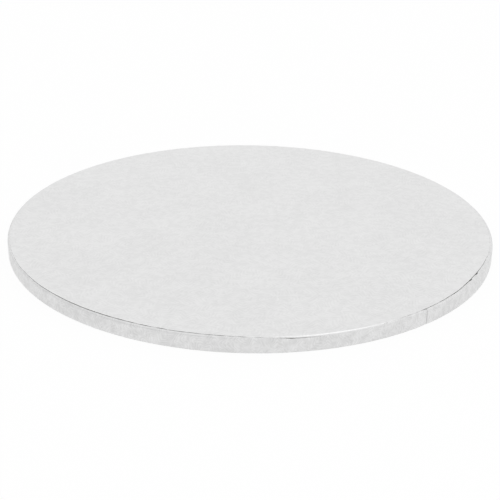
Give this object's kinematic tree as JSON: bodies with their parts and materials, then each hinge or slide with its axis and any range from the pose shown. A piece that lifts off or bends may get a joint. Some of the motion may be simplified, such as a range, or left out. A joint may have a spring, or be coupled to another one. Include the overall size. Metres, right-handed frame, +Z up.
{
  "type": "cake board",
  "caption": "Thick round cake board: a stiff board core wrapped in finely embossed silver foil paper, with a smooth banded rim and a plain paper base.",
  "frame": {"origin": "centre of the underside, on the surface that the board stands on", "axes": "+Z up through the board's thickness, out of its foil face"},
  "size_m": [0.355, 0.355, 0.012],
  "materials": {
    "greyboard": "matt, fibrous",
    "band_foil": "bright embossed foil paper",
    "face_foil": "satin embossed foil paper",
    "white_paper": "matt, uncoated"
  },
  "bodies": {
    "root": {"core_board": "greyboard", "edge_band": "band_foil", "top_foil": "face_foil", "base_paper": "white_paper"}
  },
  "joints": []
}
